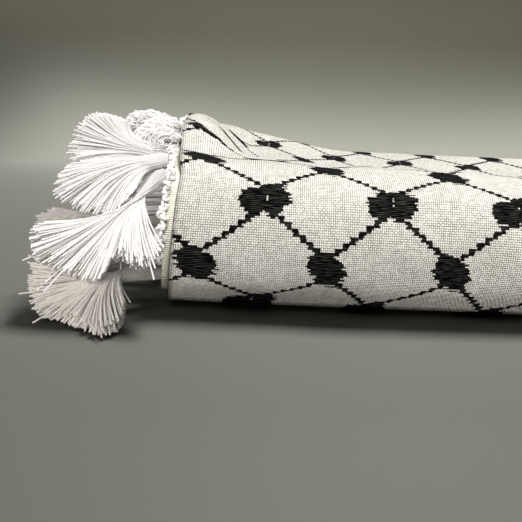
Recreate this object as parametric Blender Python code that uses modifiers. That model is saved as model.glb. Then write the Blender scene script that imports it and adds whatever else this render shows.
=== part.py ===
"""Keffiyeh headscarf, folded into a flat pack and lying on a surface.

The scarf is one square of woven cotton with knotted tassels on two opposite edges. It is
folded twice along its length and three times across its width, which gives a pack of 32
layers: a single rounded fold runs along the front, both fringed edges come out at the
left end, loops of cloth show at the right end and the sides of the layers at the back.

The frame: X runs along the pack with the tassels at -X, -Y is the rounded front, +Z is up
and the origin lies on the surface that the pack rests on. Tables are in millimetres.
"""
import math
import random
from typing import NamedTuple

import bmesh
import bpy
from mathutils import Matrix, Vector

MM = 0.001

# The pack and its cloth
PACK_LEFT = -151.5
PACK_RIGHT = 161.0
WALL = 1.3                 # thickness of the outer wall of cloth
SEAM_GAP = 0.4             # space between two pieces
CORE_GAP = 1.0             # space between the outer wall and the layers inside it
CORE_LEAD = 1.4            # the layers fall away from the puff a little sooner
PUFF_FROM = -149.3         # the left end is puffed to here
PUFF_REACH = 11.5          # and the puff falls away over this length of X
SHOULDER_FROM = -132.0     # the shoulder behind the puff is full here
SHOULDER_TO = -78.0        # and has died away here
SPLINE_STEPS = 2           # points for each row of the section table

# The folded layers, seen at the two ends
SPINE_FRONT = -56.0
SPINE_BACK = 74.0
SPINE_HEIGHT = 21.6
LAYERS_IN_HALF = 4         # ridges from the outside to the middle of the pack
RIDGE_DEPTH = 1.7
CORE_SETBACK = 3.0         # the ridges stand back from the ends of the outer wall

# The woven fringe edge
BAND_WIDTH = 2.2
BAND_THICKNESS = 1.1
BAND_INSET = 0.5

# Tassels
LOCK_STEPS = 3
LOCK_INSET = 0.3
FLOOR_TIP = 2.3            # lowest height of the middle line of a lock
SEED = 7


class Place(NamedTuple):
    """A place round the folded pack: depth, then height at three stations along X."""

    name: str
    depth: float
    puff: float
    shoulder: float
    body: float


# From the groove at the back, over the top, down the front fold to the underside.
PLACES = (
    Place("lip", 84.5, 22.4, 22.4, 22.4),
    Place("lip turn", 90.4, 23.9, 23.9, 23.9),
    Place("back face", 93.0, 32.5, 31.0, 30.0),
    Place("back shoulder", 92.0, 44.0, 41.0, 37.2),
    Place("back ridge", 87.0, 53.6, 48.0, 42.2),
    Place("rear crest", 79.0, 57.8, 51.0, 43.6),
    Place("rear slope", 68.0, 58.6, 47.2, 40.6),
    Place("rear middle", 54.0, 58.4, 42.8, 36.9),
    Place("back middle", 34.0, 58.0, 39.6, 35.2),
    Place("middle", 10.0, 57.6, 38.2, 34.8),
    Place("front middle", -12.0, 56.8, 38.2, 35.4),
    Place("valley", -28.0, 54.4, 39.4, 37.0),
    Place("valley front", -40.0, 51.6, 41.4, 39.6),
    Place("crest back", -50.0, 48.2, 41.8, 41.0),
    Place("crest", -59.0, 44.4, 41.4, 41.0),
    Place("crest front", -67.5, 40.4, 38.5, 38.0),
    Place("front high", -73.4, 32.6, 32.0, 31.6),
    Place("front bulge", -75.9, 20.5, 20.0, 20.0),
    Place("front low", -75.0, 8.8, 8.5, 8.5),
    Place("front foot", -71.4, 1.7, 1.6, 1.6),
)
SOLE_FRONT = -65.5
SOLE_BACK = 80.0
SOLE_EDGE = (88.0, 0.9)


class Crease(NamedTuple):
    """A soft ridge or trough: its middle, its half sizes, its slant and its height."""

    x: float
    depth: float
    height: float
    along: float
    across: float
    slant: float
    rise: float


CREASES = (
    Crease(-38.0, -58.0, 41.0, 26.0, 16.0, 0.00, -1.8),
    Crease(-104.0, -76.0, 24.0, 30.0, 15.0, 0.05, 0.9),
    Crease(-66.0, -75.0, 12.0, 20.0, 9.0, -0.10, -0.9),
    Crease(22.0, -76.0, 24.0, 34.0, 16.0, 0.06, 1.1),
    Crease(74.0, -58.0, 41.0, 30.0, 15.0, 0.00, -1.3),
    Crease(-60.0, 58.0, 43.0, 24.0, 14.0, 0.12, 1.2),
    Crease(20.0, 52.0, 42.0, 34.0, 14.0, -0.10, -1.5),
    Crease(92.0, 20.0, 37.0, 36.0, 22.0, 0.15, 1.6),
    Crease(-20.0, -8.0, 36.0, 30.0, 18.0, -0.20, -1.4),
    Crease(60.0, 91.0, 34.0, 36.0, 10.0, 0.00, -1.0),
)

# The sides of the layers, low at the back: depth and height of each ridge and groove.
LAYER_EDGES = (
    (88.2, 26.7), (84.2, 24.5), (83.0, 22.7), (84.4, 21.3), (89.6, 20.1),
    (92.2, 18.0), (89.8, 15.7), (92.5, 13.0), (89.9, 10.6), (92.0, 7.9), (89.4, 5.6),
    (88.8, 3.4),
)

# Stations along X: close together where the left end is puffed and at the right edge.
STATIONS = (
    -151.5, -149.3, -146.0, -142.0, -137.5, -132.0, -124.0, -113.0, -100.0, -85.0, -64.0, -42.0,
    -18.0, 8.0, 34.0, 60.0, 86.0, 112.0, 134.0, 151.0,
)
# The right edge turns in: distance from the end, and how far the wall is drawn inwards.
RIGHT_TURN = ((3.2, 0.2), (1.3, 0.9), (0.0, 2.3))

# The left edge leans: height, and how far it stands back from PACK_LEFT.
LEFT_LEAN = ((0.0, 0.0), (38.0, 3.4), (57.5, -2.4))


class Tassel(NamedTuple):
    """A tassel: root, tied head, aim and spread of its brush, and its length.

    The skew is how much longer the brush is at the side that across points to.
    """

    name: str
    root: tuple
    head: tuple
    aim: tuple
    across: tuple
    fan: float
    thick: float
    length: float
    petals: int
    radius: float
    skew: float = 0.0


FRONT_TASSELS = (
    Tassel("tassel_floor_fan", (-152.9, -68.2, 8.6), (-161.5, -74.8, 10.4),
           (-0.46, -0.86, -0.20), (-0.84, 0.45, 0.24), 37.0, 9.0, 24.0, 6, 3.2),
    Tassel("tassel_front_fan", (-152.2, -70.8, 37.8), (-157.4, -78.8, 33.4),
           (-0.48, -0.26, -0.84), (-0.86, -0.06, 0.50), 42.0, 11.0, 21.0, 6, 3.2, 0.25),
    Tassel("tassel_upper_fan", (-152.7, -64.5, 41.2), (-159.2, -66.2, 39.4),
           (-0.97, -0.04, -0.20), (0.20, 0.0, -0.97), 19.0, 11.0, 24.5, 6, 3.1),
    Tassel("tassel_top_fan", (-151.2, -50.5, 40.4), (-165.4, -51.0, 43.6),
           (-0.94, 0.03, 0.26), (-0.26, 0.0, -0.95), 24.0, 13.0, 19.0, 6, 3.0),
    Tassel("tassel_near_curl", (-151.2, -34.0, 46.8), (-158.2, -42.0, 49.6),
           (-0.22, -0.96, 0.14), (0.97, -0.22, 0.0), 20.0, 17.0, 17.5, 5, 2.7),
    Tassel("tassel_crown_curl", (-151.2, -21.5, 49.0), (-160.2, -28.5, 51.2),
           (-0.84, -0.52, 0.04), (0.52, -0.84, 0.0), 17.0, 14.0, 19.0, 5, 2.7),
    Tassel("tassel_shaded", (-151.6, -52.0, 7.6), (-158.4, -56.0, 7.4),
           (-0.93, -0.34, -0.06), (-0.34, 0.93, 0.0), 15.0, 12.0, 23.0, 5, 2.7),
    Tassel("tassel_second_row", (-151.4, -58.0, 23.6), (-159.0, -60.6, 22.6),
           (-0.98, -0.12, -0.12), (-0.12, 0.98, 0.0), 16.0, 13.0, 22.0, 5, 2.7),
)


class Level(NamedTuple):
    """A row of tassels between two layers: heights, first depth, spacing and number."""

    name: str
    root_height: float
    head_height: float
    slope: float
    first: float
    spacing: float
    count: int


LEVELS = (
    Level("low", 9.0, 8.2, -0.10, -33.0, 22.4, 6),
    Level("middle", 24.5, 23.4, -0.16, -39.0, 23.0, 6),
    Level("high", 42.5, 41.6, -0.16, -13.0, 27.0, 4),
)
LEVEL_FAN = 19.0
LEVEL_THICK = 13.5
LEVEL_LENGTH = 22.5
LEVEL_NECK = 7.5
LEVEL_ROOT = -151.4


def smooth(value: float) -> float:
    """Ease from 0 to 1."""
    value = min(1.0, max(0.0, value))
    return value * value * (3.0 - 2.0 * value)


def between(table: tuple, value: float) -> float:
    """Read a table of pairs at a value, along straight lines."""
    for (low, first), (high, second) in zip(table, table[1:]):
        if value <= high:
            share = max(0.0, (value - low) / (high - low))
            return first + (second - first) * share
    return table[-1][1]


def spline(points: list, steps: int) -> list:
    """Run a smooth curve through the points, with so many steps for each span."""
    padded = [points[0] * 2 - points[1], *points, points[-1] * 2 - points[-2]]
    curve = []
    for a, b, c, d in zip(padded, padded[1:], padded[2:], padded[3:]):
        knots = [0.0]
        for start, end in ((a, b), (b, c), (c, d)):
            knots.append(knots[-1] + math.sqrt((end - start).length))
        for step in range(steps):
            t = knots[1] + (knots[2] - knots[1]) * step / steps
            near = [
                p + (q - p) * ((t - knots[i]) / (knots[i + 1] - knots[i]))
                for i, (p, q) in enumerate(((a, b), (b, c), (c, d)))
            ]
            far = [
                p + (q - p) * ((t - knots[i]) / (knots[i + 2] - knots[i]))
                for i, (p, q) in enumerate(zip(near, near[1:]))
            ]
            share = (t - knots[1]) / (knots[2] - knots[1])
            curve.append(far[0] + (far[1] - far[0]) * share)
    return [*curve, points[-1].copy()]


def outward(section: list) -> list:
    """Unit normals of a section that runs over the top towards the front."""
    normals = []
    for i in range(len(section)):
        run = section[min(i + 1, len(section) - 1)] - section[max(i - 1, 0)]
        normals.append(Vector((run.y, -run.x)).normalized())
    return normals


def place_heights(x: float) -> list:
    """The section's places at one station, as (depth, height)."""
    puff = math.exp(-((max(0.0, x - PUFF_FROM) / PUFF_REACH) ** 2))
    shoulder = smooth((SHOULDER_TO - x) / (SHOULDER_TO - SHOULDER_FROM))
    heights = []
    for place in PLACES:
        height = place.body + (place.shoulder - place.body) * shoulder
        heights.append(Vector((place.depth, height + (place.puff - place.shoulder) * puff)))
    return heights


def crease_rise(x: float, point: Vector) -> float:
    """How far the creases move the cloth outwards at a point of a section."""
    rise = 0.0
    for crease in CREASES:
        along = (x - crease.x) / crease.along
        depth = point.x - crease.depth - crease.slant * (x - crease.x)
        across = math.hypot(depth, point.y - crease.height) / crease.across
        rise += crease.rise * math.exp(-along * along - across * across)
    return rise


def wrap_section(x: float) -> list:
    """The outer wall's outline at one station, from the groove round to the sole."""
    upper = spline(place_heights(x), SPLINE_STEPS)
    normals = outward(upper)
    upper = [p + n * crease_rise(x, p) for p, n in zip(upper, normals)]
    sole = [Vector((SOLE_FRONT, 0.0)), Vector((SOLE_BACK, 0.0)), Vector(SOLE_EDGE)]
    return upper + sole


def inset(section: list, distance: float) -> list:
    """A section moved inwards by a distance."""
    return [p - n * distance for p, n in zip(section, outward(section))]


def left_lean(x: float, height: float) -> float:
    """How far a point near the left edge moves along X, so that the edge leans."""
    fade = smooth((PACK_LEFT + 30.0 - x) / 30.0)
    return between(LEFT_LEAN, height) * fade


def in_space(x: float, section: list) -> list:
    """Points of a section in space, in metres."""
    return [Vector((x + left_lean(x, p.y), p.x, p.y)) * MM for p in section]


def material(name: str, colour: tuple, roughness: float) -> bpy.types.Material:
    """A plain cotton finish."""
    finish = bpy.data.materials.new(name)
    finish.use_nodes = True
    shader = finish.node_tree.nodes["Principled BSDF"]
    shader.inputs["Base Color"].default_value = (*colour, 1.0)
    shader.inputs["Roughness"].default_value = roughness
    shader.inputs["Metallic"].default_value = 0.0
    return finish


def add_object(name: str, bm: bmesh.types.BMesh, finish: bpy.types.Material) -> bpy.types.Object:
    """Turn a bmesh into a smooth-shaded object of the scarf's collection."""
    mesh = bpy.data.meshes.new(name)
    bm.to_mesh(mesh)
    bm.free()
    mesh.materials.append(finish)
    mesh.shade_smooth()
    mesh.set_sharp_from_angle(angle=math.radians(50.0))
    piece = bpy.data.objects.new(name, mesh)
    bpy.data.collections["keffiyeh"].objects.link(piece)
    return piece


def loft(bm: bmesh.types.BMesh, rings: list, closed: bool) -> list:
    """Join rings of points with four-sided faces and give back the rings of vertices."""
    vertices = [[bm.verts.new(point) for point in ring] for ring in rings]
    for ring, following in zip(vertices, vertices[1:]):
        count = len(ring)
        for i in range(count if closed else count - 1):
            j = (i + 1) % count
            bm.faces.new((ring[i], ring[j], following[j], following[i]))
    return vertices


def add_wall(piece: bpy.types.Object, thickness: float) -> None:
    """Give an open surface its thickness, inwards."""
    solidify = piece.modifiers.new("wall", "SOLIDIFY")
    solidify.thickness = thickness * MM
    solidify.offset = -1.0


def build_wrap(finish: bpy.types.Material) -> None:
    """The outer cloth: one wall over the top, round the front fold and underneath."""
    rings = [in_space(x, wrap_section(x)) for x in STATIONS]
    for back, drawn_in in RIGHT_TURN:
        x = PACK_RIGHT - back
        rings.append(in_space(x, inset(wrap_section(x), drawn_in)))
    bm = bmesh.new()
    loft(bm, rings, closed=False)
    piece = add_object("outer_cloth", bm, finish)
    add_wall(piece, WALL)


def core_outline(x: float) -> list:
    """The closed outline of the layers inside the outer wall, at one station."""
    first = PLACES.index(next(p for p in PLACES if p.name == "back face")) * SPLINE_STEPS
    section = inset(wrap_section(x + CORE_LEAD), WALL + CORE_GAP)[first:-1:SPLINE_STEPS]
    edges = [Vector(edge) for edge in reversed(LAYER_EDGES)]
    return section + [Vector((SOLE_BACK, WALL + CORE_GAP))] + edges


def towards_spine(outline: list, share: float) -> list:
    """An outline drawn in towards the middle line of the folded layers."""
    drawn = []
    for point in outline:
        depth = min(SPINE_BACK, max(SPINE_FRONT, point.x))
        drawn.append(point.lerp(Vector((depth, SPINE_HEIGHT)), share))
    return drawn


def end_rings(x: float, outwards: float) -> list:
    """Rings over one end, a ridge for each layer; outwards is -1 at the left end."""
    outline = core_outline(x)
    rings = []
    for half_layer in range(1, 2 * LAYERS_IN_HALF):
        share = half_layer / (2.0 * LAYERS_IN_HALF)
        ridge = RIDGE_DEPTH if half_layer % 2 else 0.0
        rings.append(in_space(x + outwards * ridge, towards_spine(outline, share)))
    return rings


def build_core(finish: bpy.types.Material) -> None:
    """The hidden layers as one rounded solid, layered at its ends and at the back."""
    left = PACK_LEFT + CORE_SETBACK
    right = PACK_RIGHT - CORE_SETBACK - WALL
    middle = [x for x in STATIONS if left < x < right]
    rings = list(reversed(end_rings(left, -1.0)))
    rings += [in_space(x, core_outline(x)) for x in (left, *middle, right)]
    rings += end_rings(right, 1.0)
    bm = bmesh.new()
    vertices = loft(bm, rings, closed=True)
    bm.faces.new(vertices[0])
    bm.faces.new(vertices[-1])
    bmesh.ops.recalc_face_normals(bm, faces=bm.faces)
    add_object("folded_layers", bm, finish)


def build_band(finish: bpy.types.Material) -> None:
    """The woven edge of the fringed side, just outside the left edge of the cloth."""
    first = PLACES.index(next(p for p in PLACES if p.name == "back shoulder")) * SPLINE_STEPS
    section = inset(wrap_section(PACK_LEFT), BAND_INSET)[first:-3]
    right = PACK_LEFT - SEAM_GAP
    rings = [
        [Vector((x + between(LEFT_LEAN, p.y), p.x, p.y)) * MM for p in section]
        for x in (right - BAND_WIDTH, right)
    ]
    bm = bmesh.new()
    loft(bm, rings, closed=False)
    piece = add_object("fringe_edge", bm, finish)
    add_wall(piece, BAND_THICKNESS)


def bezier(start: Vector, handle: Vector, end: Vector, t: float) -> Vector:
    """A point of a curve from start to end that leaves towards the handle."""
    return start.lerp(handle, t).lerp(handle.lerp(end, t), t)


def grow(bm: bmesh.types.BMesh, face: bmesh.types.BMFace, path: list, scales: list) -> None:
    """Extrude one face along a path, turning and scaling it on the way."""
    centre = face.calc_center_median()
    facing = face.normal.copy()
    shape = [(vert.co - centre) for vert in face.verts]
    previous = centre
    for i, (point, scale) in enumerate(zip(path, scales)):
        ahead = path[i + 1] if i + 1 < len(path) else point + (point - previous)
        turn = facing.rotation_difference(ahead - previous)
        grown = bmesh.ops.extrude_discrete_faces(bm, faces=[face])["faces"][0]
        for vert, offset in zip(grown.verts, shape):
            vert.co = point + turn @ (offset * scale)
        face, previous = grown, point


def tassel_axes(row: Tassel) -> tuple:
    """Aim, across and side directions of a brush, at right angles to each other."""
    aim = Vector(row.aim).normalized()
    across = Vector(row.across)
    across = (across - aim * across.dot(aim)).normalized()
    return aim, across, aim.cross(across)


def lock_path(row: Tassel, start: Vector, facing: Vector, ring: float) -> list:
    """The middle line of one lock, from a face of the head to its tip."""
    aim, across, side = tassel_axes(row)
    head = Vector(row.head) * MM
    turn = math.atan2((start - head).dot(side), (start - head).dot(across))
    tip = aim + across * (ring * math.cos(turn) * math.tan(math.radians(row.fan)))
    tip += side * (ring * math.sin(turn) * math.tan(math.radians(row.thick)))
    length = row.length * (1.0 + row.skew * ring * math.cos(turn))
    end = head + tip.normalized() * length * MM
    end.z = max(end.z, FLOOR_TIP * MM)
    handle = start + (aim * 2.0 + facing).normalized() * length * 0.28 * MM
    return [bezier(start, handle, end, (i + 1) / LOCK_STEPS) for i in range(LOCK_STEPS)]


def build_tassel(row: Tassel, finish: bpy.types.Material) -> None:
    """A neck, a tied head and a brush of tapered locks that part from the head."""
    aim, across, side = tassel_axes(row)
    head = Vector(row.head)
    frame = Matrix((across, side, aim)).transposed().to_4x4()
    frame.translation = head * MM
    frame = frame @ Matrix.Rotation(math.pi / row.petals, 4, "Z")
    bm = bmesh.new()
    bmesh.ops.create_uvsphere(
        bm, u_segments=row.petals, v_segments=4, radius=row.radius * MM, matrix=frame
    )
    back = [f for f in bm.faces if (f.calc_center_median() - head * MM).dot(aim) < 0
            and len(f.verts) == 3]
    neck_face = bmesh.ops.dissolve_faces(bm, faces=back)["region"][0]
    root = Vector(row.root)
    leaving = (head - aim * row.radius * 1.6) * MM
    neck_start = neck_face.calc_center_median()
    neck = [bezier(neck_start, leaving, root * MM, t) for t in (0.5, 1.0)]
    grow(bm, neck_face, neck, [0.9, 0.9])
    brush = [f for f in bm.faces if (f.calc_center_median() - head * MM).dot(aim) > 0
             and f.normal.dot(aim) > 0.1]
    inner = [f for f in brush if len(f.verts) == 3]
    outer = [f for f in brush if len(f.verts) == 4]
    bmesh.ops.inset_individual(bm, faces=brush, thickness=LOCK_INSET * MM)
    for faces, ring, scales in ((inner, 0.46, (1.2, 1.35, 1.25)), (outer, 1.0, (1.0, 1.1, 1.0))):
        for face in faces:
            path = lock_path(row, face.calc_center_median(), face.normal.copy(), ring)
            grow(bm, face, path, scales)
    bmesh.ops.recalc_face_normals(bm, faces=bm.faces)
    add_object(row.name, bm, finish)


def level_tassels() -> list:
    """The rows of tassels behind the front ones, a little uneven."""
    uneven = random.Random(SEED)
    rows = []
    for level in LEVELS:
        for i in range(level.count):
            depth = level.first + i * level.spacing
            sway = uneven.uniform(-0.06, 0.06)
            reach = LEVEL_LENGTH + uneven.uniform(-1.5, 1.0)
            rows.append(Tassel(
                f"tassel_{level.name}_{i + 1}",
                (LEVEL_ROOT, depth, level.root_height),
                (LEVEL_ROOT - LEVEL_NECK, depth + sway * 12.0, level.head_height),
                (-1.0, sway, level.slope), (0.0, 1.0, 0.0),
                LEVEL_FAN, LEVEL_THICK, reach, 5, 2.7,
            ))
    return rows


def main() -> None:
    """Clear the scene and build every piece of the folded scarf."""
    for old in list(bpy.data.objects):
        bpy.data.objects.remove(old)
    collection = bpy.data.collections.new("keffiyeh")
    bpy.context.scene.collection.children.link(collection)
    cloth = material("white_cotton", (0.84, 0.83, 0.80), 0.9)
    layers = material("white_cotton_layers", (0.80, 0.79, 0.76), 0.9)
    edge = material("cream_edge", (0.80, 0.76, 0.64), 0.9)
    yarn = material("white_yarn", (0.88, 0.87, 0.86), 0.85)
    build_wrap(cloth)
    build_core(layers)
    build_band(edge)
    for row in (*FRONT_TASSELS, *level_tassels()):
        build_tassel(row, yarn)


main()
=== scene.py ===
"""Keffiyeh headscarf, folded into a flat pack with its tassels at one end.

The outer cloth is one thin woven shell on the form of the pack, with its creases placed
one by one. Inside it lie the folded layers, at the fringed end a cream woven edge with its
row of knots, and every tassel is a bundle of separate yarns. Tables are in millimetres.
"""

import logging
import math
import random
from dataclasses import dataclass
from enum import Enum
from functools import partialmethod

import bmesh
import bpy
import numpy as np
from mathutils import Matrix, Vector


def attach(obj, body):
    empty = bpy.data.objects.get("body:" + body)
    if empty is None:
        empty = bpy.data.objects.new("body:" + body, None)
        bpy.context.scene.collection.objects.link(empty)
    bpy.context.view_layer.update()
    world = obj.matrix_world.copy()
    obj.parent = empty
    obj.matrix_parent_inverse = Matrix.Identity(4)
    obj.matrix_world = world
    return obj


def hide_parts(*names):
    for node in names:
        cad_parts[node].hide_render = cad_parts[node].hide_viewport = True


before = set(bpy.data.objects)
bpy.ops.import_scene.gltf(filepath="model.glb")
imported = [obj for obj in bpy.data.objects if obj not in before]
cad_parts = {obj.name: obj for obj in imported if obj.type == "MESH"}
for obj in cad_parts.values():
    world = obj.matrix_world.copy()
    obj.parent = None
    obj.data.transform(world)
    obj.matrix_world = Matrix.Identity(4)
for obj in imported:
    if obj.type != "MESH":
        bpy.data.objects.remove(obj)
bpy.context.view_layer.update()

LOG = logging.getLogger("keffiyeh")
MM = 0.001
BODY = "root"


def smooth(value: np.ndarray) -> np.ndarray:
    """Ease from 0 to 1."""
    value = np.clip(value, 0.0, 1.0)
    return value * value * (3.0 - 2.0 * value)


def fade(value: np.ndarray, start: float, run: float) -> np.ndarray:
    """Ease from 0 at a start to 1 at the end of a run, which may go backwards."""
    return smooth((value - start) / run)


def spline(points: np.ndarray, steps: list[int]) -> np.ndarray:
    """Run a smooth curve through points.

    Args:
        points: The points that the curve passes through.
        steps: The number of steps for each span.

    Returns:
        The points of the curve, the last one included.
    """
    padded = np.vstack([2 * points[0] - points[1], points, 2 * points[-1] - points[-2]])
    curve = []
    for i, count in enumerate(steps):
        spans = list(zip(padded[i:i + 3], padded[i + 1:i + 4]))
        knots = np.cumsum([0.0, *(math.sqrt(np.linalg.norm(q - p)) for p, q in spans)])
        t = (knots[1] + (knots[2] - knots[1]) * np.arange(count) / count)[:, None]
        near = [p + (q - p) * (t - knots[j]) / (knots[j + 1] - knots[j])
                for j, (p, q) in enumerate(spans)]
        far = [p + (q - p) * (t - knots[j]) / (knots[j + 2] - knots[j])
               for j, (p, q) in enumerate(zip(near, near[1:]))]
        curve.append(far[0] + (far[1] - far[0]) * (t - knots[1]) / (knots[2] - knots[1]))
    return np.vstack([*curve, points[-1:]])


def arc_lengths(points: np.ndarray) -> np.ndarray:
    """Distances along a line of points, from its first point."""
    steps = np.linalg.norm(np.diff(points, axis=0), axis=1)
    return np.concatenate([[0.0], np.cumsum(steps)])


class Value:
    """A number in a node tree. A sign between two of them adds a math node."""

    def __init__(self, tree: "Tree", socket: bpy.types.NodeSocket) -> None:
        """Hold a socket and the tree that it is in."""
        self.tree, self.socket = tree, socket

    def joined(self, operation: str, *others: object) -> "Value":
        """Add a math node of this number and the others."""
        return self.tree.math(operation, self, *others)

    def taken_from(self, other: object) -> "Value":
        """Another number less this one."""
        return self.tree.math("SUBTRACT", other, self)

    __add__ = __radd__ = partialmethod(joined, "ADD")
    __mul__ = __rmul__ = partialmethod(joined, "MULTIPLY")
    __sub__, __rsub__ = partialmethod(joined, "SUBTRACT"), taken_from
    __truediv__ = partialmethod(joined, "DIVIDE")
    __mod__ = partialmethod(joined, "FLOORED_MODULO")
    __pow__ = partialmethod(joined, "POWER")
    __lt__ = partialmethod(joined, "LESS_THAN")
    __gt__ = partialmethod(joined, "GREATER_THAN")
    __abs__ = partialmethod(joined, "ABSOLUTE")
    __round__ = partialmethod(joined, "ROUND")
    __floor__ = partialmethod(joined, "FLOOR")
    at_least = partialmethod(joined, "MAXIMUM")
    at_most = partialmethod(joined, "MINIMUM")
    fraction = partialmethod(joined, "FRACT")
    sign = partialmethod(joined, "SIGN")
    sine = partialmethod(joined, "SINE")
    cosine = partialmethod(joined, "COSINE")


class Tree:
    """A node tree with short calls for the nodes that a finish or a form uses."""

    def __init__(self, tree: bpy.types.NodeTree) -> None:
        """Start from an empty tree."""
        self.tree = tree
        tree.nodes.clear()

    def node(self, kind: str, inputs: dict | None = None, **settings: object) -> bpy.types.Node:
        """Add a node, set its properties and feed its inputs.

        Args:
            kind: What the node is.
            inputs: Values for its inputs, by their names or numbers.
            settings: Values for its properties.

        Returns:
            The node.
        """
        node = self.tree.nodes.new(kind)
        for name, value in settings.items():
            setattr(node, name, value)
        self.feed(node, inputs or {})
        return node

    def feed(self, node: bpy.types.Node, inputs: dict) -> None:
        """Link inputs, by their names or numbers, or set them to plain values.

        Args:
            node: The node.
            inputs: What each input is linked to or set to.
        """
        for name, value in inputs.items():
            value = value.socket if isinstance(value, Value) else value
            if isinstance(value, bpy.types.NodeSocket):
                self.tree.links.new(value, node.inputs[name])
            else:
                node.inputs[name].default_value = value

    def made(self, kind: str, inputs: dict | None = None,
             **settings: object) -> bpy.types.NodeSocket:
        """Add a node and give back its first output."""
        return self.node(kind, inputs, **settings).outputs[0]

    def math(self, operation: str, *values: object) -> Value:
        """Add a math node and give back its result."""
        return Value(self, self.made("ShaderNodeMath", dict(enumerate(values)),
                                     operation=operation))

    def vector(self, x: object, y: object, z: object) -> bpy.types.NodeSocket:
        """Join three values to a vector."""
        return self.made("ShaderNodeCombineXYZ", {0: x, 1: y, 2: z})

    def vectors(self, operation: str, inputs: dict) -> bpy.types.NodeSocket:
        """Add a vector math node and give back its result."""
        return self.made("ShaderNodeVectorMath", inputs, operation=operation)

    def chance(self, x: object, y: object, z: object) -> Value:
        """A fixed random value from 0 to 1 for each whole x, y and z."""
        node = self.node("ShaderNodeTexWhiteNoise", {"Vector": self.vector(x, y, z)},
                         noise_dimensions="3D")
        return Value(self, node.outputs["Value"])

    def noise(self, place: object, scale: float) -> Value:
        """A smooth random value from 0 to 1."""
        inputs = {"Vector": place, "Scale": scale, "Detail": 2.0}
        return Value(self, self.made("ShaderNodeTexNoise", inputs, noise_dimensions="3D"))

    def colour(self, share: object, first: object, second: object) -> bpy.types.NodeSocket:
        """Mix two colours by a share."""
        node = self.node("ShaderNodeMix", {0: share, 6: first, 7: second}, data_type="RGBA")
        return node.outputs[2]


def mix(share: Value, first: Value, second: Value) -> Value:
    """Mix two values by a share."""
    return share * (second - first) + first


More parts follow.
